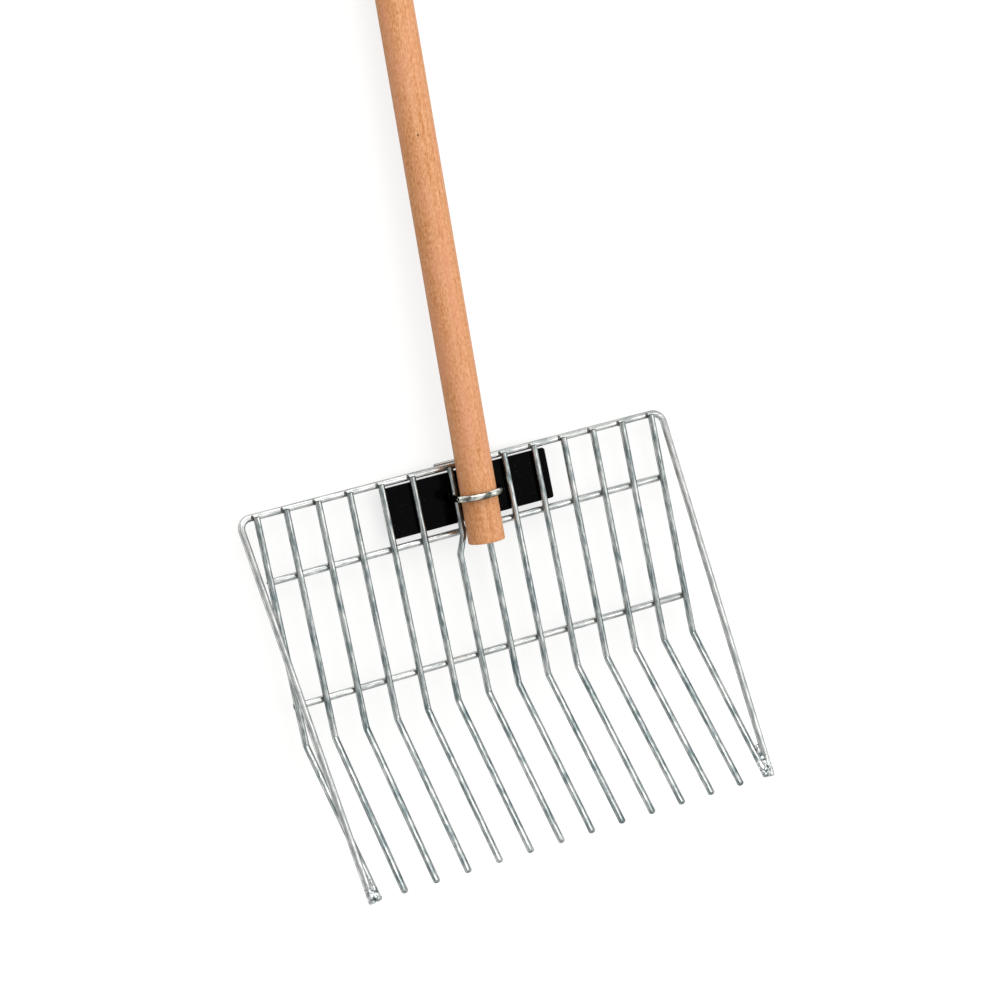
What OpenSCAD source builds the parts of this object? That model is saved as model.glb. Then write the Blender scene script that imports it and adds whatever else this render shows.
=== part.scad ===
// Wire manure fork: a welded wire head on a round wooden handle.
// The head is drawn flat: X across the tines, Y up along the handle, Z out of the scoop's hollow side,
// with Z = 0 on the tines' axes. The finished fork is then laid on its back on the ground, where
// it rests on the two clamp bolts and the far end of the handle.

/* [Head] */
// Diameter of the tines' wire
wire_d = 5.4; // [4:0.1:6]
// Diameter of the frame rod and the two cross rods
rod_d = 5.7; // [4.5:0.1:6.5]
// Number of tines, with one pair in the middle
tine_count = 14; // [8:2:18]
// Distance from one tine to the next
tine_pitch = 27.6; // [24:0.1:34]
// Length of tine standing above the top rod's axis
tine_stub = 0.2; // [0:0.1:6]
// Distance from the top rod down to the middle rod
mid_rod_drop = 54.5; // [48:0.5:70]
// Distance from the top rod down to the low rod
low_rod_drop = 158; // [120:0.5:170]
// Distance from the top rod down to the knee in the tines
knee_drop = 190; // [180:0.5:230]
// Length of a tine from its knee to its tip
tine_reach = 147.5; // [100:0.5:180]
// Angle that the tines bend forward at the knee
knee_bend = 40; // [25:0.5:50]
// Radius of the knee along the wire's axis
knee_radius = 8; // [6:0.5:20]
// Height of the bevel on each tine's tip
tip_bevel = 0.9; // [0.3:0.1:1.5]
// Length of the middle rod past the outer tines' axes
mid_overhang = 0; // [0:0.1:5]
// Length of the low rod past the outer tines' axes
low_overhang = 1.3; // [0:0.1:5]
// Distance that the left outer tine stands in from its regular place
outer_inset = 2.2; // [0:0.1:4]
// Angle that the outer tines' bent ends are turned in towards each other
outer_turn = 1.9; // [0:0.1:5]
// Depth that a cross rod is pressed into the tines' backs by its welds
weld_sink = 0.5; // [0.2:0.1:0.8]

/* [Frame rod] */
// Distance from the outer tines' regular places out to the frame's corners
frame_overhang = 11.7; // [8:0.1:20]
// Radius of the frame's corners along the wire's axis
corner_radius = 9; // [6:0.5:14]
// Gap between a side rod and the outer tine at their shared tip
tip_gap = 0.2; // [0.1:0.05:1]
// Distance that a side rod's axis lies behind the outer tine's axis at the tip
tip_back = 2.5; // [0:0.1:4]
// Length of the weld bead that joins the two at the tip
bead_length = 24; // [12:0.5:30]
// Diameter of that bead at the tip
bead_d = 8; // [6.5:0.1:9.5]
// Diameter of the bead at its far end
bead_end_d = 5.8; // [5.5:0.1:8]
// Height of the bead's middle above the wires' axes
bead_rise = 1.75; // [1:0.05:2.5]

/* [Brace] */
// Length of the short brace rod behind the top rod
brace_length = 33; // [30:0.5:60]
// Angle up from straight behind the top rod at which the brace lies
brace_angle = 15; // [0:1:80]

/* [Handle] */
// Diameter of the handle
handle_d = 30; // [26:0.1:36]
// Length of the handle
handle_length = 1350; // [1000:5:1600]
// Length of handle below the clamp
handle_foot = 39.6; // [30:0.1:60]
// How much thicker the handle's lower end is, across its diameter
foot_flare = 0.5; // [0.2:0.1:2]
// Length of the slight flare to the lower end
flare_length = 95; // [70:1:150]
// Radius of the handle's domed upper end
dome_radius = 18; // [18:0.5:40]
// Bevel around the handle's lower end
foot_bevel = 0.5; // [0.3:0.1:3]
// Angle that the handle is turned in its clamp, to the right
handle_turn = 1.9; // [0:0.1:4]

/* [Clamp] */
// Half the distance between the two middle tines where they carry the handle
saddle_half = 7.75; // [4:0.05:9]
// Radius of the two bends that set a middle tine over, along the wire's axis
set_radius = 9; // [8:0.5:16]
// Length of the straight between those two bends, on the left middle tine
left_straight = 12; // [1:0.1:16]
// Length of the straight between those two bends, on the right middle tine
right_straight = 3; // [1:0.1:16]
// Distance below the middle rod at which a middle tine starts back to its place
set_drop = 1; // [1:0.1:6]
// Diameter of the U-bolt's rod
bolt_d = 5.5; // [4.5:0.1:6.5]
// Side play of the handle in the U-bolt's bend
bend_play = 1.4; // [0.1:0.05:2]
// Distance of the U-bolt above the backing plate's middle
clamp_rise = 1.2; // [0:0.1:6]
// Gap between the U-bolt's left leg and the middle tine beside it
leg_gap = 0.3; // [0.1:0.05:2]
// Length of bolt standing out of the nuts
bolt_tail = 2.5; // [1:0.1:8]
// Width of the nuts across their flats
nut_flats = 10; // [9:0.1:13]
// Height of the nuts
nut_h = 5; // [3:0.1:7]
// Diameter of the washers
washer_d = 12; // [11:0.1:20]
// Thickness of the washers
washer_t = 1.6; // [1:0.1:3]
// Clearance of the washers' and the plate's holes around the bolt, across the diameter
hole_play = 0.9; // [0.4:0.1:2]

/* [Backing plate] */
// Width of the backing plate
plate_w = 147.5; // [110:0.5:200]
// Thickness of the backing plate
plate_t = 4; // [2:0.1:6]
// Gap from the top rod down to the plate
plate_top_gap = 1.35; // [0.5:0.05:6]
// Gap from the plate down to the middle rod
plate_foot_gap = 4.65; // [0.5:0.05:10]
// Bevel around the plate's edges
plate_bevel = 0.8; // [0.2:0.1:0.9]
// Length cut off each side at the plate's corners
plate_corner = 1.6; // [0.5:0.1:10]

/* [Hidden] */
$fn = 64;
// Air left between pieces that touch on the real fork
touch = 0.05;
// Extra thickness of a wire at its bends, and how far the straights reach into them
bend_swell = 0.04;
bend_lap = 0.3;
// Number of drops that a weld bead is laid in
bead_drops = 5;
wire_r = wire_d / 2;
rod_r = rod_d / 2;
bolt_r = bolt_d / 2;
handle_r = handle_d / 2;
foot_d = handle_d + foot_flare;

// Places of the tines, rods and tips
half_span = (tine_count - 1) / 2 * tine_pitch;
rod_z = weld_sink - wire_r - rod_r;
set_over = tine_pitch / 2 - saddle_half;
knee_setback = knee_radius * tan(knee_bend / 2);
tip_y = -knee_drop - tine_reach * cos(knee_bend);
tip_z = tine_reach * sin(knee_bend);
function is_middle(i) = i == tine_count / 2 || i == tine_count / 2 + 1;
function tine_side(i) = i <= tine_count / 2 ? -1 : 1;
function tine_x(i) = (i - (tine_count + 1) / 2) * tine_pitch + (i == 1 ? outer_inset : 0);
function tine_roll(i) = i == 1 ? outer_turn : i == tine_count ? -outer_turn : 0;
function saddle_x(i) = is_middle(i) ? tine_side(i) * saddle_half : tine_x(i);
function tine_name(i) = str("tine_", i < 10 ? "0" : "", i);

// The frame rod lies in one plane, which leans forward from the top rod to the outer tips
corner_x = half_span + frame_overhang;
outer_tip_z = tip_z * cos(outer_turn);
side_out = sqrt(pow(wire_r + rod_r + tip_gap, 2) - pow(tip_back, 2));
side_end_y = tip_y - tip_back * sin(knee_bend);
side_end_z = outer_tip_z - tip_back * cos(knee_bend);
frame_lean = atan2(side_end_z - rod_z, -side_end_y);
frame_depth = norm([side_end_y, side_end_z - rod_z]);
function outer_tine(side) = side < 0 ? 1 : tine_count;
function outer_tip_x(side) = abs(tine_x(outer_tine(side))) - tip_z * sin(outer_turn);
function side_end_x(side) = outer_tip_x(side) + side_out;
function side_angle(side) = atan2(corner_x - side_end_x(side), frame_depth);
function corner_turn(side) = 90 + side_angle(side);
function corner_setback(side) = corner_radius * tan(corner_turn(side) / 2);
function side_run(side) = norm([corner_x - side_end_x(side), frame_depth]) - corner_setback(side);

// The two bends of a middle tine, with a short straight between them
function set_run(i) = tine_side(i) < 0 ? left_straight : right_straight;
function set_slack(i) = norm([2 * set_radius, set_run(i)]);
function set_lean(i) = atan2(set_run(i), 2 * set_radius);
function set_turn(i) = acos((2 * set_radius - set_over) / set_slack(i)) - set_lean(i);
function set_length(i) = 2 * set_radius * sin(set_turn(i)) + set_run(i) * cos(set_turn(i));

// The clamp: the handle lies on the right middle tine, and the U-bolt's left leg stands by the left one
bend_r = handle_r + bend_play + bolt_r;
clamp_x = bend_r - saddle_half - wire_r - bolt_r - leg_gap;
plate_top = -rod_r - plate_top_gap;
plate_foot = plate_foot_gap + rod_r - mid_rod_drop;
plate_h = plate_top - plate_foot;
plate_y = (plate_top + plate_foot) / 2;
clamp_y = plate_y + clamp_rise;
handle_z = wire_r + touch + foot_d / 2;
clamp_handle_r = foot_d / 2 - foot_flare / 2 * handle_foot / flare_length;
bend_z = handle_z + clamp_handle_r + touch - (bend_r - bolt_r);
plate_z = -wire_r - touch;
washer_z = plate_z - plate_t;
nut_z = washer_z - washer_t;
bolt_end_z = nut_z - nut_h - bolt_tail;

// How the fork lies on the ground
dome_depth = dome_radius - sqrt(dome_radius * dome_radius - handle_r * handle_r);
heel_y = clamp_y + (handle_length - handle_foot - dome_depth) * cos(handle_turn);
bolt_foot_y = clamp_y + bolt_r;
lie_angle = atan2(handle_z - handle_r - bolt_end_z, heel_y - bolt_foot_y);
ground = bolt_end_z * cos(lie_angle) - bolt_foot_y * sin(lie_angle);
dome_y = clamp_y + (handle_length - handle_foot - dome_radius) * cos(handle_turn);
top_reach = dome_y * cos(lie_angle) + handle_z * sin(lie_angle) + dome_radius;
tine_edge = (wire_r - tip_bevel) * sin(knee_bend - lie_angle);
tine_foot = tip_y * cos(lie_angle) + tip_z * sin(lie_angle) - tine_edge;
side_edge = (rod_r - tip_bevel) * sin(acos(cos(side_angle(-1)) * cos(frame_lean - lie_angle)));
side_foot = side_end_y * cos(lie_angle) + side_end_z * sin(lie_angle) - side_edge;
tip_reach = min(tine_foot, side_foot);

TINES = [for (i = [1 : tine_count]) tine_name(i)];

// Lays what is drawn in the flat head's frame on the ground, centred on the origin
module laid() {
    translate([0, -(top_reach + tip_reach) / 2, -ground]) rotate([-lie_angle, 0, 0]) children();
}

// A straight length of wire along X, with an optional bevel at either end
module straight_wire(d, from, to, near, far) {
    r = d / 2;
    h = to - from;
    foot = near > 0 ? [[r - near, 0], [r, near]] : [[r, 0]];
    head = far > 0 ? [[r, h - far], [r - far, h]] : [[r, h]];
    translate([from, 0, 0]) rotate([0, 90, 0]) {
        if (near + far > 0) {
            rotate_extrude() polygon(concat([[0, 0]], foot, head, [[0, h]]));
        } else {
            cylinder(r = r, h = h);
        }
    }
}

// A wire drawn along X from the origin: each run is [straight length, turn, turn radius, roll before it].
// A bend is a hair thicker than the wire, and the straights reach a little way into it.
module bent_wire(d, runs, near = 0, far = 0, i = 0) {
    run = runs[i];
    last = i == len(runs) - 1;
    side = run[1] < 0 ? -1 : 1;
    from = i > 0 ? -bend_lap : 0;
    to = run[0] + (last ? 0 : bend_lap);
    straight_wire(d, from, to, i > 0 ? 0 : near, last ? far : 0);
    if (!last) {
        translate([run[0], 0, 0]) rotate([run[3], 0, 0]) {
            translate([0, side * run[2], 0]) rotate([0, 0, -side * 90]) {
                rotate_extrude(angle = run[1]) translate([run[2], 0]) circle(d = d + bend_swell);
            }
            turn_end = [run[2] * sin(abs(run[1])), side * run[2] * (1 - cos(run[1])), 0];
            translate(turn_end) rotate([0, 0, run[1]]) bent_wire(d, runs, near, far, i + 1);
        }
    }
}

// One tine: straight down from the top rod, then bent forward at the knee
module tine(i) {
    roll = -tine_side(i) * 90;
    upper = tine_stub + knee_drop - knee_setback;
    knee = [knee_bend, knee_radius];
    saddle = tine_stub + mid_rod_drop + set_drop;
    lower_run = [tine_reach - knee_setback, 0, 0, 0];
    plain_runs = [[upper, knee[0], knee[1], 0], lower_run];
    middle_runs = [
        [saddle, set_turn(i), set_radius, roll],
        [set_run(i), -set_turn(i), set_radius, 0],
        [upper - saddle - set_length(i), knee[0], knee[1], -roll],
        lower_run
    ];
    color("#b9c0c4") laid() translate([saddle_x(i), tine_stub, 0]) rotate([0, tine_roll(i), 0]) {
        rotate([90, 0, -90]) bent_wire(wire_d, is_middle(i) ? middle_runs : plain_runs, far = tip_bevel);
    }
}

// The hollows that the tines press into a cross rod at the height y
module tine_seats(y) {
    top = min(y + 2 * wire_d, tine_stub + touch);
    for (i = [1 : tine_count]) {
        x = y < -mid_rod_drop ? tine_x(i) : saddle_x(i);
        translate([x, top, 0]) rotate([90, 0, 0]) cylinder(r = wire_r + touch, h = 4 * wire_d);
    }
}

// A straight cross rod welded behind the tines
module cross_rod(drop, overhang) {
    left = tine_x(1) - overhang;
    right = tine_x(tine_count) + overhang;
    color("#c3c9cc") laid() difference() {
        translate([left, -drop, rod_z]) rotate([0, 90, 0]) cylinder(d = rod_d, h = right - left);
        tine_seats(-drop);
    }
}

// The frame rod's axis plane, with the top rod along X and the side rods towards -Y
module frame_plane() {
    translate([0, 0, rod_z]) rotate([-frame_lean, 0, 0]) children();
}

// Top rod, two rounded corners and two side rods, bent from one wire
module frame_rod() {
    top_run = 2 * corner_x - corner_setback(-1) - corner_setback(1);
    runs = [
        [side_run(-1), -corner_turn(-1), corner_radius, 0],
        [top_run, -corner_turn(1), corner_radius, 0],
        [side_run(1), 0, 0, 0]
    ];
    color("#c3c9cc") laid() difference() {
        frame_plane() translate([-side_end_x(-1), -frame_depth, 0]) rotate([0, 0, corner_turn(-1)]) {
            bent_wire(rod_d, runs, near = tip_bevel, far = tip_bevel);
        }
        tine_seats(0);
    }
}

// Short rod along the back of the top rod, which stiffens it at the two middle tines
module brace_rod() {
    reach = wire_r + rod_r + touch;
    color("#b3b9bd") laid() {
        translate([0, reach * sin(brace_angle), rod_z - reach * cos(brace_angle)]) {
            rotate([0, 90, 0]) cylinder(d = wire_d, h = brace_length, center = true);
        }
    }
}

// Weld bead in the valley between a side rod and the outer tine, narrowing away from the tip
module tip_weld(side) {
    mean_lean = (knee_bend + frame_lean) / 2;
    back = [0, cos(mean_lean), -sin(mean_lean)];
    front = [0, sin(mean_lean), cos(mean_lean)];
    mean_x = (outer_tip_x(side) + side_end_x(side)) / 2;
    tip = [side * mean_x, (tip_y + side_end_y) / 2, (outer_tip_z + side_end_z) / 2];
    roll = tine_roll(outer_tine(side));
    start = bead_d / 2;
    step = [bead_length - (bead_d + bead_end_d) / 2, bead_end_d - bead_d] / (bead_drops - 1);
    color("#c9ced1") laid() difference() {
        for (k = [0 : bead_drops - 1]) {
            translate(tip + back * (start + k * step[0]) + front * bead_rise) {
                sphere(d = bead_d + k * step[1]);
            }
        }
        translate([tine_x(outer_tine(side)), 0, 0]) rotate([0, roll, 0]) translate([0, tip_y, tip_z]) {
            rotate([-knee_bend - 90, 0, 0]) cylinder(r = wire_r + touch, h = 4 * bead_length, center = true);
        }
        frame_plane() translate([side * side_end_x(side), -frame_depth, 0]) {
            rotate([-90, 0, side * -side_angle(side)]) {
                cylinder(r = rod_r + touch, h = 4 * bead_length, center = true);
            }
        }
        translate(tip) rotate([-mean_lean, 0, 0]) translate([0, 0, -bead_length - touch]) {
            cube(2 * bead_length, center = true);
        }
    }
}

// The clamp's own frame: at the point of the handle's axis that the U-bolt goes round
module clamp_place() {
    translate([clamp_x, clamp_y, 0]) children();
}

// What is done at each leg of the U-bolt
module each_leg() {
    for (side = [-1, 1]) translate([side * bend_r, 0, 0]) children();
}

// Holes for the bolt's two legs
module leg_holes() {
    clamp_place() each_leg() cylinder(d = bolt_d + hole_play, h = 4 * (wire_d + plate_t), center = true);
}

// Outline of a bar with bevelled corners
module bevelled(w, h, c) {
    polygon([
        [c - w / 2, -h / 2], [w / 2 - c, -h / 2], [w / 2, c - h / 2], [w / 2, h / 2 - c],
        [w / 2 - c, h / 2], [c - w / 2, h / 2], [-w / 2, h / 2 - c], [-w / 2, c - h / 2]
    ]);
}

// Flat plate behind the tines, which the U-bolt's nuts pull against them
module backing_plate() {
    color("#16181a") laid() difference() {
        translate([clamp_x, plate_y, plate_z - plate_t / 2]) intersection() {
            linear_extrude(plate_t, center = true) bevelled(plate_w, plate_h, plate_corner);
            rotate([90, 0, 0]) linear_extrude(plate_h, center = true) {
                bevelled(plate_w, plate_t, plate_bevel);
            }
            rotate([90, 0, 90]) linear_extrude(plate_w, center = true) {
                bevelled(plate_h, plate_t, plate_bevel);
            }
        }
        leg_holes();
    }
}

// U-bolt around the front of the handle, with its legs through the plate
module u_bolt() {
    leg = bend_z - bolt_end_z;
    color("#d5d9db") laid() clamp_place() translate([-bend_r, 0, bolt_end_z]) rotate([0, -90, 0]) {
        rotate([90, 0, 0]) bent_wire(bolt_d, [[leg, -180, bend_r, 0], [leg, 0, 0, 0]]);
    }
}

// Two flat washers behind the plate
module clamp_washers() {
    color("#c7cccf") laid() clamp_place() each_leg() translate([0, 0, nut_z]) difference() {
        cylinder(d = washer_d, h = washer_t);
        translate([0, 0, -washer_t]) cylinder(d = bolt_d + hole_play, h = 3 * washer_t);
    }
}

// Two hexagon nuts with bevelled corners
module clamp_nuts() {
    across = nut_flats / cos(30);
    bevel = (across - nut_flats) / 2;
    color("#c7cccf") laid() clamp_place() each_leg() translate([0, 0, nut_z - nut_h]) difference() {
        intersection() {
            cylinder(d = across, h = nut_h, $fn = 6);
            union() {
                cylinder(d1 = across - 2 * bevel, d2 = across, h = bevel / 2);
                translate([0, 0, bevel / 2]) cylinder(d = across + touch, h = nut_h);
            }
        }
        translate([0, 0, -nut_h]) cylinder(r = bolt_r + touch, h = 3 * nut_h);
    }
}

// Round handle, turned a little in its clamp, with a slightly flared lower end and a domed top
module handle() {
    straight = handle_length - flare_length;
    bevel_d = foot_d - 2 * foot_bevel;
    color("#d99f72") laid() clamp_place() rotate([0, 0, -handle_turn]) {
        translate([0, -handle_foot, handle_z]) rotate([-90, 0, 0]) {
            cylinder(d1 = bevel_d, d2 = foot_d, h = foot_bevel);
            translate([0, 0, foot_bevel]) {
                cylinder(d1 = foot_d, d2 = handle_d, h = flare_length - foot_bevel);
            }
            translate([0, 0, flare_length]) intersection() {
                cylinder(d = handle_d, h = straight);
                union() {
                    cylinder(d = 2 * dome_radius, h = straight - dome_radius);
                    translate([0, 0, straight - dome_radius]) sphere(dome_radius);
                }
            }
        }
    }
}

for (i = [1 : tine_count]) tine(i);
frame_rod();
cross_rod(mid_rod_drop, mid_overhang);  // middle_rod
cross_rod(low_rod_drop, low_overhang);  // low_rod
brace_rod();
tip_weld(-1);  // left_tip_weld
tip_weld(1);  // right_tip_weld
backing_plate();
u_bolt();
clamp_washers();
clamp_nuts();
handle();
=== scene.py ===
import math

import bmesh
import bpy
from mathutils import Matrix, Vector, noise


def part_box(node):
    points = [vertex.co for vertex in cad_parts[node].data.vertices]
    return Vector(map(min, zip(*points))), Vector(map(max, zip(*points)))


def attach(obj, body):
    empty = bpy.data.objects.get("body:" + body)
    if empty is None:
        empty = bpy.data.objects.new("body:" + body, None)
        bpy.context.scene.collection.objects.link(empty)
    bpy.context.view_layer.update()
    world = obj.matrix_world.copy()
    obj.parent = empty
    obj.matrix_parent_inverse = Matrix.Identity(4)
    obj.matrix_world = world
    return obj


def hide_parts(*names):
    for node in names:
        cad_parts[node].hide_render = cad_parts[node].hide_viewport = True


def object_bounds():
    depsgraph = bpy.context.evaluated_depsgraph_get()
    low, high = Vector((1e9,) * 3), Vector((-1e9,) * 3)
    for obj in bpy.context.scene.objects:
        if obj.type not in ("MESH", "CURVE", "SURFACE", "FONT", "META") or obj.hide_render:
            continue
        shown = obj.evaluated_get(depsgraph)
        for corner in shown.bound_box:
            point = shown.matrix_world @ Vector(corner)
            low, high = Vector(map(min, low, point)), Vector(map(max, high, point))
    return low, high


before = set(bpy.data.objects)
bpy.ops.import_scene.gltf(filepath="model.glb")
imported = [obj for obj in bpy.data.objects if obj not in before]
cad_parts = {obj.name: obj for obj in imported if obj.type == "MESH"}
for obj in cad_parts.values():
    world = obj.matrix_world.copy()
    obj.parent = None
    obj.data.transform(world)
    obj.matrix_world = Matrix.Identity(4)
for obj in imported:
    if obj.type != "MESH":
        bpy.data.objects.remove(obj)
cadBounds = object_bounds()
scene = bpy.context.scene
scene.view_settings.view_transform = "Standard"
mm = 0.001
print("frame loaded:", len(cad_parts), "nodes")

# The head is described flat, as it was welded: x across the tines, y up the handle, z out of the hollow,
# in millimetres from the middle of the top rod. The fork lies tipped back a little on its bolts.
head = {
    "tip": math.radians(-0.8314),      # how far the fork leans back on its bolts
    "at": (0.0, -0.490812, 0.015534),  # the tines' plane at the top rod's middle, in metres
    "wire": 5.4,                       # thickness of the tines, and of the rods
    "rod": 5.7,
    "rodBack": -5.05,                  # rod axes behind the tine axes
    "kneeDrop": 190.0,
    "kneeBend": math.radians(40.0),
    "reach": 147.5,                    # knee to tip
    "outer": {-1: 177.2, 1: 179.4},    # the left and the right outer tine
    "turnIn": math.radians(1.9),       # the outer tines' bent ends lean in
    "cornerX": 191.1,
    "cornerDrop": 6.0,                 # below this the frame's wire runs down its sides
    "sideOut": 5.178,                  # a side rod's end, out from and behind the outer tip
    "sideBack": 2.5,
    "sideLean": math.radians(17.82),
}
headPlace = Matrix.Translation(head["at"]) @ Matrix.Rotation(head["tip"], 4, "X")


def onHead(x, y, z):
    return headPlace @ Vector((x * mm, y * mm, z * mm))


def toLinear(hexColour):
    channels = [int(hexColour[i:i + 2], 16) / 255 for i in (1, 3, 5)]
    return [c / 12.92 if c <= 0.04045 else ((c + 0.055) / 1.055) ** 2.4 for c in channels] + [1.0]


# Adds one node: values and links go to its inputs by name or number, stops to its colour ramp.
def addNode(tree, kind, values=None, links=None, stops=None, **settings):
    node = tree.nodes.new(kind)
    for name, value in settings.items():
        setattr(node, name, value)
    for socket, value in (values or {}).items():
        node.inputs[socket].default_value = value
    for socket, source in (links or {}).items():
        tree.links.new(source, node.inputs[socket])
    if stops:
        ramp = node.color_ramp.elements
        while len(ramp) < len(stops):
            ramp.new(0.5)
        for element, (position, shade) in zip(ramp, stops):
            element.position = position
            element.color = toLinear(shade) if isinstance(shade, str) else (shade, shade, shade, 1.0)
    return node


def newMaterial(name):
    material = bpy.data.materials.new(name)
    material.use_nodes = True
    material.node_tree.nodes.clear()
    return material, material.node_tree


# Lays a tint over a colour where a noise is high: the stops say how high, and how strong the tint gets.
def layTint(tree, colour, tint, field, stops):
    mask = addNode(tree, "ShaderNodeValToRGB", links={0: field}, stops=stops).outputs[0]
    return addNode(tree, "ShaderNodeMix", {7: toLinear(tint)}, {0: mask, 6: colour},
                   data_type="RGBA").outputs[2]


# Ends a material with its relief, its shader and its output.
def closeMaterial(tree, values, links, height, depth):
    bump = addNode(tree, "ShaderNodeBump", {"Strength": 1.0, "Distance": depth}, {"Height": height})
    shader = addNode(tree, "ShaderNodeBsdfPrincipled", values, {**links, "Normal": bump.outputs[0]})
    addNode(tree, "ShaderNodeOutputMaterial", links={"Surface": shader.outputs[0]})


def dress(nodeName, material):
    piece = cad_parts[nodeName]
    piece.data.materials.clear()
    piece.data.materials.append(material)


# Electro-galvanised drawn wire: the die leaves long lines, the zinc a fine mottle with dull spots.
zinc = {
    # The rods' tone is a paler copy of the tines' zinc: painted light, for the rods' brighter reflection of
    # the lamps. Within each, the tone varies at random.
    "tone": {"tine": ((0.4, "#68787B"), (0.6, "#D0D2CF")), "rod": ((0.4, "#A2A7A7"), (0.6, "#E6E7E4"))},
    "lineShare": 0.62,       # the lines' part in the tone, the rest is mottle
    "spot": "#4A5153",
    "spotStops": ((0.62, 0.0), (0.74, 0.4)),
    "rough": {"From Min": 0.36, "From Max": 0.64, "To Min": 0.32, "To Max": 0.13},
    # A dark grazing tint darkens the wires' edges: painted shade, standing in for dark surroundings reflected
    # there.
    "paintedDarkEdge": "#484E50",
    "lines": 1.0 * mm,       # drawn wider than the real die lines, which are too fine to show
    "lineLength": 11 * mm,
    "lineDepth": 0.05 * mm,
    "mottle": 16 * mm,
    "spots": 1.5 * mm,
}


# The lines run one way up the handle from switchY and another way below it, as the wire does.
def zincMaterial(name, kind, above, below, switchY):
    material, tree = newMaterial(name)
    coords = addNode(tree, "ShaderNodeTexCoord").outputs["Object"]
    fields = []
    for turn, along in (above, below):
        size = [zinc["lines"]] * 3
        size[along] = zinc["lineLength"]
        place = addNode(tree, "ShaderNodeMapping", {"Rotation": turn, "Scale": size}, {"Vector": coords},
                        vector_type="TEXTURE")
        field = addNode(tree, "ShaderNodeTexNoise", {"Scale": 1.0, "Detail": 3.0, "Roughness": 0.55},
                        {"Vector": place.outputs[0]})
        fields.append(field.outputs[0])
    upHandle = addNode(tree, "ShaderNodeSeparateXYZ", links={0: coords}).outputs[1]
    isAbove = addNode(tree, "ShaderNodeMath", {1: switchY}, {0: upHandle},
                      operation="GREATER_THAN").outputs[0]
    lines = addNode(tree, "ShaderNodeMix", links={0: isAbove, 2: fields[1], 3: fields[0]},
                    data_type="FLOAT").outputs[0]
    mottle = addNode(tree, "ShaderNodeTexNoise",
                     {"Scale": 1 / zinc["mottle"], "Detail": 4.0, "Roughness": 0.6},
                     {"Vector": coords}).outputs[0]
    spots = addNode(tree, "ShaderNodeTexNoise",
                    {"Scale": 1 / zinc["spots"], "Detail": 2.0, "Roughness": 0.7},
                    {"Vector": coords}).outputs[0]
    tone = addNode(tree, "ShaderNodeMix", {0: zinc["lineShare"]}, {2: mottle, 3: lines},
                   data_type="FLOAT").outputs[0]
    colour = addNode(tree, "ShaderNodeValToRGB", links={0: tone}, stops=zinc["tone"][kind]).outputs[0]
    spotted = layTint(tree, colour, zinc["spot"], spots, zinc["spotStops"])
    rough = addNode(tree, "ShaderNodeMapRange", zinc["rough"], {0: tone}).outputs[0]
    closeMaterial(tree, {"Metallic": 1.0, "Specular Tint": toLinear(zinc["paintedDarkEdge"])},
                  {"Base Color": spotted, "Roughness": rough}, lines, zinc["lineDepth"])
    return material


kneeY = onHead(0, -head["kneeDrop"], 0).y
cornerY = onHead(0, -head["cornerDrop"], 0).y
straight = ((head["tip"], 0, 0), 1)  # the wire's turn, and the axis it runs along
bentDown = ((head["tip"] - head["kneeBend"], 0, 0), 1)
sideDown = ((head["tip"] - head["sideLean"], 0, 0), 1)
across = ((head["tip"], 0, 0), 0)
tineZinc = zincMaterial("galvanised_tine_wire", "tine", straight, bentDown, kneeY)
# The cross rods and the frame wire take the paler copy of the zinc: painted light.
rodZinc = zincMaterial("galvanised_cross_rod", "rod", across, across, kneeY)
frameZinc = zincMaterial("galvanised_frame_wire", "rod", across, sideDown, cornerY)
tines = sorted(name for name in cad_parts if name.startswith("tine_"))
for name in tines:
    dress(name, tineZinc)
for name in ("middle_rod", "low_rod", "brace_rod"):
    dress(name, rodZinc)
dress("frame_rod", frameZinc)
print("zinc on", len(tines), "tines and 4 rods")

# Bright zinc on the clamp's bolt, nuts and washers: barrel plated and nearly a mirror, with faint rub marks.
# Its colour runs in patches from dark grey to near white: painted reflection.
clampZinc = {
    # The patches from dark grey to near white are painted reflection; the same noise sets the faint rub marks
    # in the roughness.
    "tone": ((0.37, "#63655F"), (0.54, "#F5F4EB")),
    "rough": {"From Min": 0.3, "From Max": 0.7, "To Min": 0.02, "To Max": 0.05},
    # The near-black grazing tint darkens the bolt's edges: painted shade.
    "paintedDarkEdge": "#0A0C0D",
    "rub": 9 * mm,
    "dent": 0.005 * mm,
}
boltZinc, tree = newMaterial("bright_zinc_plate")
coords = addNode(tree, "ShaderNodeTexCoord").outputs["Object"]
rub = addNode(tree, "ShaderNodeTexNoise", {"Scale": 1 / clampZinc["rub"], "Detail": 2.0, "Roughness": 0.5},
              {"Vector": coords}).outputs[0]
colour = addNode(tree, "ShaderNodeValToRGB", links={0: rub}, stops=clampZinc["tone"]).outputs[0]
rough = addNode(tree, "ShaderNodeMapRange", clampZinc["rough"], {0: rub}).outputs[0]
closeMaterial(tree, {"Metallic": 1.0, "Specular Tint": toLinear(clampZinc["paintedDarkEdge"])},
              {"Base Color": colour, "Roughness": rough}, rub, clampZinc["dent"])
for name in ("u_bolt", "clamp_nuts", "clamp_washers"):
    dress(name, boltZinc)

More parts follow.
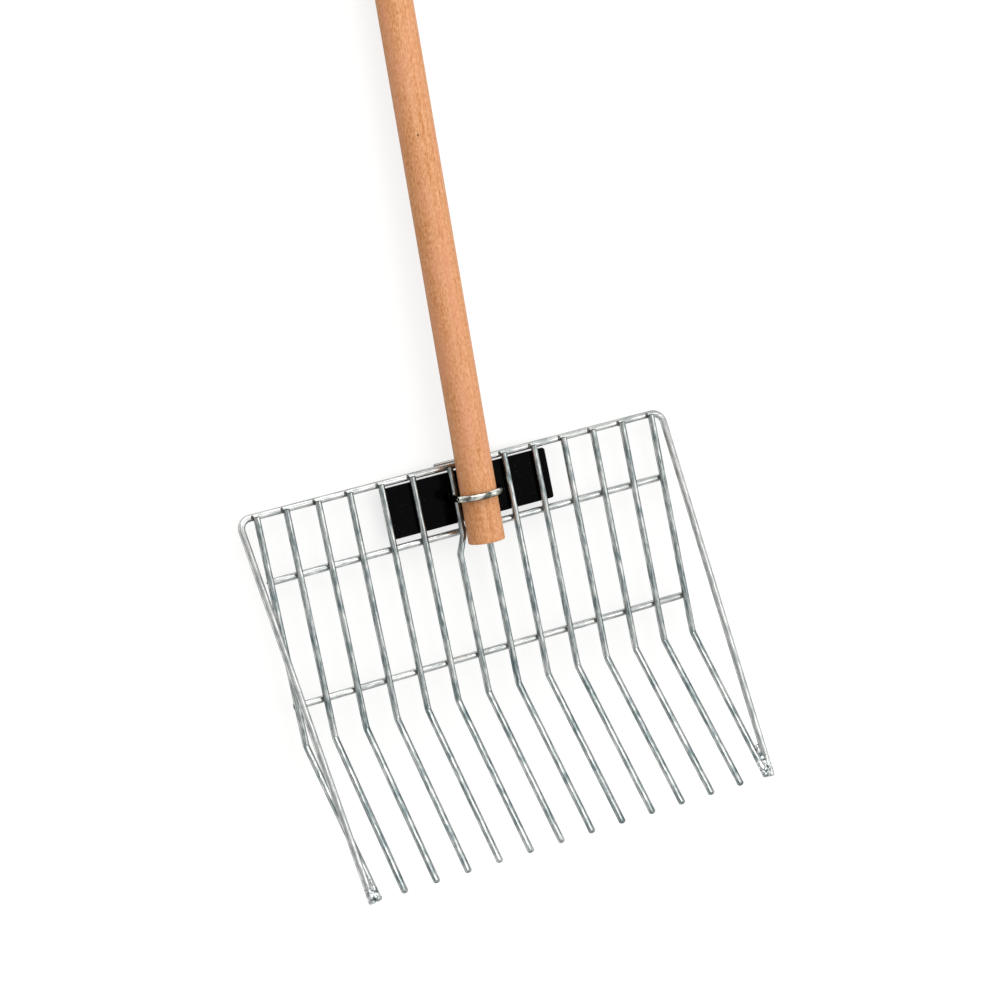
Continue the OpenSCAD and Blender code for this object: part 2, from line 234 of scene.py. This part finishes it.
# Arc weld under zinc plate: ripples and spatter in its relief, with its colour following the same height:
# painted highlight on the crowns and painted shade in the dips.
weld = {
    # Paler where the relief is high and darker where it is low: painted highlight and painted shade.
    "tone": ((0.57, "#525C5F"), (0.7, "#D8DADA")),
    "rough": {"From Min": 0.5, "From Max": 0.8, "To Min": 0.32, "To Max": 0.1},
    "ripple": 3.0 * mm,
    "grit": 1.0 * mm,
    "gritShare": 0.35,
    "depth": 0.2 * mm,
}
weldZinc, tree = newMaterial("plated_weld_bead")
coords = addNode(tree, "ShaderNodeTexCoord").outputs["Object"]
ripple = addNode(tree, "ShaderNodeTexNoise", {"Scale": 1 / weld["ripple"], "Detail": 3.0, "Roughness": 0.6},
                 {"Vector": coords}).outputs[0]
grit = addNode(tree, "ShaderNodeTexNoise", {"Scale": 1 / weld["grit"], "Detail": 2.0},
               {"Vector": coords}).outputs[0]
tone = addNode(tree, "ShaderNodeMath", {1: weld["gritShare"]}, {0: grit, 2: ripple},
               operation="MULTIPLY_ADD").outputs[0]
colour = addNode(tree, "ShaderNodeValToRGB", links={0: tone}, stops=weld["tone"]).outputs[0]
rough = addNode(tree, "ShaderNodeMapRange", weld["rough"], {0: tone}).outputs[0]
closeMaterial(tree, {"Metallic": 1.0}, {"Base Color": colour, "Roughness": rough}, tone, weld["depth"])

# Stoved black enamel on the plate: a hard gloss with a little orange peel, dust and fine rub marks.
enamel = {
    "tone": ((0.6, "#030303"), (0.85, "#0B0C0C")),  # black, and a little paler where it is rubbed
    "rubTurn": math.radians(35),
    "rubWidth": 0.7 * mm,
    "rubLength": 11 * mm,
    "dust": "#686E70",
    "dustStops": ((0.745, 0.0), (0.81, 0.6)),
    "dustSize": 1.1 * mm,
    "gloss": 0.02,
    "rough": {"From Min": 0.4, "From Max": 0.75, "To Min": 0.1, "To Max": 0.22},
    "peel": 3 * mm,
    "peelDepth": 0.012 * mm,
}
blackEnamel, tree = newMaterial("stoved_black_enamel")
coords = addNode(tree, "ShaderNodeTexCoord").outputs["Object"]
peel = addNode(tree, "ShaderNodeTexNoise", {"Scale": 1 / enamel["peel"], "Detail": 1.0},
               {"Vector": coords}).outputs[0]
place = addNode(tree, "ShaderNodeMapping",
                {"Rotation": (0, 0, enamel["rubTurn"]), "Scale": (enamel["rubLength"], enamel["rubWidth"], 1)},
                {"Vector": coords}, vector_type="TEXTURE")
rub = addNode(tree, "ShaderNodeTexNoise", {"Scale": 1.0, "Detail": 3.0, "Roughness": 0.6},
              {"Vector": place.outputs[0]}).outputs[0]
dust = addNode(tree, "ShaderNodeTexNoise", {"Scale": 1 / enamel["dustSize"], "Detail": 1.0},
               {"Vector": coords}).outputs[0]
rubbed = addNode(tree, "ShaderNodeValToRGB", links={0: rub}, stops=enamel["tone"]).outputs[0]
colour = layTint(tree, rubbed, enamel["dust"], dust, enamel["dustStops"])
rough = addNode(tree, "ShaderNodeMapRange", enamel["rough"], {0: rub}).outputs[0]
closeMaterial(tree, {"Specular IOR Level": enamel["gloss"]}, {"Base Color": colour, "Roughness": rough},
              peel, enamel["peelDepth"])
dress("backing_plate", blackEnamel)
print("clamp, welds and plate dressed")

# Sanded beech: pinkish tan with short brown flecks, silky fibres, faint growth rings and one pin knot.
beech = {
    "foot": (0.00434, -0.55452, 0.03446),        # the handle's lower end, and its turn
    "turn": (head["tip"], 0, math.radians(-1.9)),
    "tone": ((0.34, "#C07C49"), (0.5, "#DA9C6D"), (0.66, "#EAB48B")),
    "marks": {                                   # width and length of each kind of mark
        "grain": (1.1 * mm, 3.2 * mm),
        "fibre": (1.6 * mm, 55 * mm),
        "fleck": (0.7 * mm, 2.6 * mm),           # drawn wider than real flecks, to show at this size
        "cloud": (11 * mm, 60 * mm),
    },
    "shares": {"fibre": 0.7, "cloud": 0.35, "grain": 0.66},  # mixed over the rings in this order
    "ring": 4.5 * mm,
    "ringStretch": 9,
    "ringWander": 2.2,
    "pith": (0.052, 0.0, -0.041),                # the rings' middle lies outside the handle
    "rosy": "#E09B77",
    "rosyStops": ((0.45, 0.0), (0.65, 0.6)),
    "fleck": "#A8652F",
    "fleckStops": ((0.55, 0.0), (0.7, 0.45)),
    "knot": "#57341B",
    "knotAt": (-0.00494, 0.33329, 0.01416),
    "knotFade": {"From Min": 0.5 * mm, "From Max": 1.3 * mm, "To Min": 0.85, "To Max": 0.0},
    "rough": {"From Min": 0.3, "From Max": 0.7, "To Min": 0.46, "To Max": 0.6},
    "gloss": 0.15,
    "fleckRelief": 0.6,
    "depth": 0.05 * mm,
}
waveRing = math.pi / 10  # how far apart Blender draws a wave's rings at scale 1
beechWood, tree = newMaterial("sanded_beech")
coords = addNode(tree, "ShaderNodeTexCoord").outputs["Object"]
local = addNode(tree, "ShaderNodeMapping", {"Location": beech["foot"], "Rotation": beech["turn"]},
                {"Vector": coords}, vector_type="TEXTURE").outputs[0]
marks = {}
for mark, (width, length) in beech["marks"].items():
    place = addNode(tree, "ShaderNodeMapping", {"Scale": (width, length, width)}, {"Vector": local},
                    vector_type="TEXTURE")
    marks[mark] = addNode(tree, "ShaderNodeTexNoise", {"Scale": 1.0, "Detail": 3.0, "Roughness": 0.55},
                          {"Vector": place.outputs[0]}).outputs[0]
pith = addNode(tree, "ShaderNodeMapping",
               {"Location": beech["pith"], "Scale": (1, beech["ringStretch"], 1)},
               {"Vector": local}, vector_type="TEXTURE")
tone = addNode(tree, "ShaderNodeTexWave",
               {"Scale": waveRing / beech["ring"], "Distortion": beech["ringWander"], "Detail": 2.0,
                "Detail Scale": 0.6},
               {"Vector": pith.outputs[0]},
               wave_type="RINGS", rings_direction="Y", wave_profile="SIN").outputs["Fac"]
for mark, share in beech["shares"].items():
    tone = addNode(tree, "ShaderNodeMix", {0: share}, {2: tone, 3: marks[mark]},
                   data_type="FLOAT").outputs[0]
colour = addNode(tree, "ShaderNodeValToRGB", links={0: tone}, stops=beech["tone"]).outputs[0]
rosy = layTint(tree, colour, beech["rosy"], marks["cloud"], beech["rosyStops"])
flecked = layTint(tree, rosy, beech["fleck"], marks["fleck"], beech["fleckStops"])
knotFar = addNode(tree, "ShaderNodeVectorMath", {1: beech["knotAt"]}, {0: local},
                  operation="DISTANCE").outputs["Value"]
knotMask = addNode(tree, "ShaderNodeMapRange", beech["knotFade"], {0: knotFar}).outputs[0]
knotted = addNode(tree, "ShaderNodeMix", {7: toLinear(beech["knot"])}, {0: knotMask, 6: flecked},
                  data_type="RGBA").outputs[2]
rough = addNode(tree, "ShaderNodeMapRange", beech["rough"], {0: marks["fibre"]}).outputs[0]
relief = addNode(tree, "ShaderNodeMath", {1: beech["fleckRelief"]}, {0: marks["fleck"], 2: marks["grain"]},
                 operation="MULTIPLY_ADD").outputs[0]
closeMaterial(tree, {"Specular IOR Level": beech["gloss"]}, {"Base Color": knotted, "Roughness": rough},
              relief, beech["depth"])
dress("handle", beechWood)
print("handle dressed in beech")


def addPiece(name, mesh, material):
    data = bpy.data.meshes.new(name)
    bmesh.ops.recalc_face_normals(mesh, faces=mesh.faces)
    for face in mesh.faces:
        face.smooth = True
    mesh.to_mesh(data)
    mesh.free()
    data.materials.append(material)
    piece = bpy.data.objects.new(name, data)
    scene.collection.objects.link(piece)
    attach(piece, "root")
    return piece


# Dull dark brown grey on the crossing welds: painted shadow, for the shade the tines cast on the rods at their
# left.
nuggetShadow = {
    # These dark brown greys stand in for the tines' shade on the rods: painted shadow.
    "tone": ((0.42, "#433E39"), (0.66, "#868682")),
    "metallic": 0.6,
    "roughness": 0.5,
    "patch": 1.6 * mm,
    "depth": 0.2 * mm,
}
nuggetShadowZinc, tree = newMaterial("weld_nugget_painted_shadow")
coords = addNode(tree, "ShaderNodeTexCoord").outputs["Object"]
patch = addNode(tree, "ShaderNodeTexNoise", {"Scale": 1 / nuggetShadow["patch"], "Detail": 3.0},
                {"Vector": coords}).outputs[0]
colour = addNode(tree, "ShaderNodeValToRGB", links={0: patch}, stops=nuggetShadow["tone"]).outputs[0]
closeMaterial(tree, {"Metallic": nuggetShadow["metallic"], "Roughness": nuggetShadow["roughness"]},
              {"Base Color": colour}, patch, nuggetShadow["depth"])

# Resistance welds: a small flattened nugget squeezed out beside each tine at each rod. Set mostly to the
# tine's left and coloured dark, the nuggets are painted shadow where the tines shade the rods.
nugget = {
    "at": -2.7,                 # height from the tines' plane
    "wobble": 0.2,
    "wobbleScale": 1.7,
    "roundness": 2,
    "pairReach": 40 * mm,       # only the middle pair's left and right edges add up to less
    "frame_rod": {"drop": 0.0, "size": (3.0, 5.0, 3.0), "aside": -2.7, "rise": -0.2},  # upright, on the left
    "middle_rod": {"drop": 54.5, "size": (6.8, 4.2, 2.8), "aside": -0.7, "rise": 0.6},
    "low_rod": {"drop": 158.0, "size": (6.8, 4.2, 2.8), "aside": -0.7, "rise": 0.6},
}
rods = ("frame_rod", "middle_rod", "low_rod")
mesh = bmesh.new()
for rodName in rods:
    spot = nugget[rodName]
    for name in tines:
        low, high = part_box(name)
        edges = sorted((low.x / mm, high.x / mm), key=abs)
        isPair = abs(low.x + high.x) < nugget["pairReach"]
        isSet = isPair and rodName != "low_rod"  # the middle pair stands closer at the clamp
        sign = math.copysign(1, edges[1])
        leftward = -1 if name == tines[0] and rodName != "frame_rod" else 1  # the rods' left ends stay clean
        x = edges[0] + sign * head["wire"] / 2 if isSet else edges[1] - sign * head["wire"] / 2
        seed = Vector((x, spot["drop"], 0))
        centre = Vector((x + leftward * spot["aside"], spot["rise"] - spot["drop"], nugget["at"]))
        made = bmesh.ops.create_icosphere(mesh, subdivisions=nugget["roundness"], radius=1.0)["verts"]
        for vert in made:
            swell = 1 + nugget["wobble"] * noise.noise(vert.co * nugget["wobbleScale"] + seed)
            vert.co = onHead(*(centre + vert.co * swell * Vector(spot["size"]) / 2))
addPiece("crossing_weld_shadows", mesh, nuggetShadowZinc)
print("crossing welds:", len(rods) * len(tines))

# Arc welds at the two tips: metal laid round both wires' ends and into the valley between them.
tipWeld = {
    "coat": 0.24,                        # thickness and length of the skin round each wire
    "coatRun": 20.0,
    "coatStep": 0.8,
    "coatTaper": 1.4,
    "start": {"wire": 2.5, "rod": 3.2},  # the skin's first drop, back from each wire's end
    "fill": {-1: 2.6, 1: 3.2},           # the left and the right valley's drops
    "fillRun": {-1: 25.0, 1: 27.0},
    "fillThin": 0.3,
    "fillRise": 0.7,
    "roundness": 3,
    "voxel": 0.3,
    "smoothing": 5,
    "lump": 2.9,
    "lumpDepth": 0.26,
    "grit": 1.1,
    "gritDepth": 0.14,
}


# The ends of a tip's tine and side rod, the ways back up from them, and the way out of the hollow.
def tipWires(side):
    bend, turnIn = head["kneeBend"], head["turnIn"]
    along = Vector((-side * math.sin(bend) * math.sin(turnIn), -math.cos(bend),
                    math.sin(bend) * math.cos(turnIn)))
    tineTip = Vector((side * head["outer"][side], -head["kneeDrop"], 0)) + head["reach"] * along
    behind = Vector((0, -math.sin(bend), -math.cos(bend)))
    sideEnd = tineTip + Vector((side * head["sideOut"], 0, 0)) + head["sideBack"] * behind
    corner = Vector((side * head["cornerX"], 0, head["rodBack"]))
    return tineTip, -along, sideEnd, (corner - sideEnd).normalized(), -behind


def addBall(mesh, centre, radius):
    made = bmesh.ops.create_icosphere(mesh, subdivisions=tipWeld["roundness"], radius=radius)["verts"]
    bmesh.ops.translate(mesh, verts=made, vec=centre)


def spread(start, stop, step):
    count = int((stop - start) / step) + 1
    return [start + (stop - start) * k / (count - 1) for k in range(count)]


for side, nodeName in ((-1, "left_tip_weld"), (1, "right_tip_weld")):
    tineTip, tineBack, sideEnd, sideBack, front = tipWires(side)
    mesh = bmesh.new()
    for end, back, kind in ((tineTip, tineBack, "wire"), (sideEnd, sideBack, "rod")):
        for run in spread(tipWeld["start"][kind], tipWeld["coatRun"], tipWeld["coatStep"]):
            share = run / tipWeld["coatRun"]
            skin = tipWeld["coat"] * (1 - tipWeld["coatTaper"] * share ** 2)
            addBall(mesh, end + back * run, head[kind] / 2 + skin)
    fillRun = tipWeld["fillRun"][side]
    for run in spread(tipWeld["start"]["rod"], fillRun, tipWeld["coatStep"]):
        middle = (tineTip + tineBack * run + sideEnd + sideBack * run) / 2
        addBall(mesh, middle + front * tipWeld["fillRise"],
                tipWeld["fill"][side] * (1 - tipWeld["fillThin"] * run / fillRun))
    data = bpy.data.meshes.new("weld_drops")
    mesh.to_mesh(data)
    mesh.free()
    drops = bpy.data.objects.new("weld_drops", data)
    scene.collection.objects.link(drops)
    melt = drops.modifiers.new("melt", "REMESH")
    melt.mode = "VOXEL"
    melt.voxel_size = tipWeld["voxel"]
    settle = drops.modifiers.new("settle", "SMOOTH")
    settle.iterations = tipWeld["smoothing"]
    mesh = bmesh.new()
    mesh.from_object(drops, bpy.context.evaluated_depsgraph_get())
    bpy.data.objects.remove(drops)
    mesh.normal_update()
    for vert in mesh.verts:
        lump = tipWeld["lumpDepth"] * noise.noise(vert.co / tipWeld["lump"])
        grit = tipWeld["gritDepth"] * noise.noise(vert.co / tipWeld["grit"])
        vert.co = onHead(*(vert.co + vert.normal * (lump + grit)))
    piece = addPiece(nodeName + "_metal", mesh, weldZinc)
    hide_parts(nodeName)
    print(piece.name, len(piece.data.polygons), "faces")

# Rolled thread on the bolt's tails: its ridge stands a little proud of the plain rod.
thread = {
    "pitch": 0.9,
    "ridgeHalf": 0.46,  # half the ridge's foot, as a share of the pitch
    "crest": 0.25,
    "sink": 0.08,
    "rod": 2.75,        # the bolt's radius
    "turnSteps": 32,
    "turns": 2.4,
    "low": -15.4,
    "legs": ((-13.5, -24.4), (24.8, -24.4)),
}
mesh = bmesh.new()
for legX, legY in thread["legs"]:
    half = thread["ridgeHalf"] * thread["pitch"]
    inner = thread["rod"] - thread["sink"]
    ridge = ((inner, -half), (thread["rod"] + thread["crest"], 0), (inner, half))
    corners = [mesh.verts.new((r, 0, thread["low"] + rise)) for r, rise in ridge]
    loop = [mesh.edges.new((corners[k - 1], corners[k])) for k in range(3)]
    mesh.faces.new(corners)
    steps = int(thread["turns"] * thread["turnSteps"])
    made = bmesh.ops.spin(mesh, geom=corners + loop, cent=(0, 0, 0), axis=(0, 0, 1),
                          dvec=(0, 0, thread["pitch"] / thread["turnSteps"]),
                          angle=2 * math.pi * thread["turns"], steps=steps, use_duplicate=False)["geom_last"]
    mesh.faces.new([part for part in made if isinstance(part, bmesh.types.BMVert)])
    fresh = [vert for vert in mesh.verts if not vert.tag]
    for vert in fresh:
        vert.tag = True
        vert.co = onHead(vert.co.x + legX, vert.co.y + legY, vert.co.z)
addPiece("bolt_thread", mesh, boltZinc)
print("thread on", len(thread["legs"]), "bolt tails")

# The floor is a plain pale sheet that keeps the fork's soft shadow. It glows a little where it is seen.
floorLook = {"size": 40.0, "drop": 0.2 * mm, "pale": "#A4A4A2", "lift": 0.68}
mesh = bmesh.new()
bmesh.ops.create_grid(mesh, x_segments=1, y_segments=1, size=floorLook["size"] / 2)
bmesh.ops.translate(mesh, verts=mesh.verts, vec=(0, 0, cadBounds[0].z - floorLook["drop"]))
floorMesh = bpy.data.meshes.new("floor")
mesh.to_mesh(floorMesh)
mesh.free()
floor = bpy.data.objects.new("floor", floorMesh)
scene.collection.objects.link(floor)
paper, tree = newMaterial("pale_paper_floor")
path = addNode(tree, "ShaderNodeLightPath")
seen = path.outputs["Is Camera Ray"]
for kind in ("Is Glossy Ray", "Is Transmission Ray"):
    seen = addNode(tree, "ShaderNodeMath", links={0: seen, 1: path.outputs[kind]},
                   operation="MAXIMUM").outputs[0]
lift = addNode(tree, "ShaderNodeMath", {1: floorLook["lift"]}, {0: seen}, operation="MULTIPLY").outputs[0]
matt = addNode(tree, "ShaderNodeBsdfDiffuse", {"Color": toLinear(floorLook["pale"])})
glow = addNode(tree, "ShaderNodeEmission", {"Color": (1, 1, 1, 1)}, {"Strength": lift})
both = addNode(tree, "ShaderNodeAddShader", links={0: matt.outputs[0], 1: glow.outputs[0]})
addNode(tree, "ShaderNodeOutputMaterial", links={"Surface": both.outputs[0]})
floorMesh.materials.append(paper)

# Soft studio light: a big bank over the handle's end, a smaller one overhead, one from the right, and a room
# whose left wall is dim.
room = {
    "tint": "#FFFFFF",
    "level": 0.62,
    "brightens": (0.2, -0.1, 0.24),  # brighter to the right and overhead
}
world = bpy.data.worlds.new("studio_room")
scene.world = world
world.use_nodes = True
tree = world.node_tree
tree.nodes.clear()
ray = addNode(tree, "ShaderNodeTexCoord").outputs["Generated"]
side = addNode(tree, "ShaderNodeVectorMath", {1: room["brightens"]}, {0: ray},
               operation="DOT_PRODUCT").outputs["Value"]
level = addNode(tree, "ShaderNodeMath", {1: room["level"]}, {0: side}, operation="ADD").outputs[0]
light = addNode(tree, "ShaderNodeBackground", {"Color": toLinear(room["tint"])}, {"Strength": level})
addNode(tree, "ShaderNodeOutputWorld", links={"Surface": light.outputs[0]})

lamps = {
    "bank": {"toward": (-0.1, 0.9, 0.42), "far": 2.6, "radius": 1.38, "radiance": 1.9},
    "overhead": {"toward": (0.4, 0.14, 0.9), "far": 2.4, "radius": 0.92, "radiance": 0.95},
    "side": {"toward": (0.8, -0.1, 0.59), "far": 2.4, "radius": 0.85, "radiance": 0.5},
}
lit = Vector((0.0, -0.6, 0.03))  # the lamps face the head
for name, lamp in lamps.items():
    data = bpy.data.lights.new(name, "AREA")
    data.shape = "DISK"
    data.size = 2 * lamp["radius"]
    data.energy = lamp["radiance"] * math.pi * math.pi * lamp["radius"] ** 2
    bulb = bpy.data.objects.new(name, data)
    scene.collection.objects.link(bulb)
    toward = Vector(lamp["toward"]).normalized()
    bulb.location = lit + toward * lamp["far"]
    bulb.rotation_euler = (-toward).to_track_quat("-Z", "Y").to_euler()
    bulb.visible_camera = False
print("floor and", len(lamps), "lamps placed")

# The camera looks down on the hollow side from the left, as the fork was photographed.
eye = {
    "at": (-0.79865, -0.14880, 2.09124),
    "aim": (0.03676, -0.53132, 0.0),
    "up": (0.24047, 0.96728, -0.08087),
    "lens": 98.906,
    "sensor": 36.0,
    "shift": (-0.0005, 0.0005),
    "clipEnd": 100.0,
}
cameraData = bpy.data.cameras.new("camera")
cameraData.sensor_width = eye["sensor"]
cameraData.lens = eye["lens"]
cameraData.shift_x, cameraData.shift_y = eye["shift"]
cameraData.clip_end = eye["clipEnd"]
camera = bpy.data.objects.new("camera", cameraData)
scene.collection.objects.link(camera)
back = (Vector(eye["at"]) - Vector(eye["aim"])).normalized()
right = Vector(eye["up"]).cross(back).normalized()
turn = Matrix((right, back.cross(right), back)).transposed().to_4x4()
camera.matrix_world = Matrix.Translation(eye["at"]) @ turn
scene.camera = camera
print("camera placed")
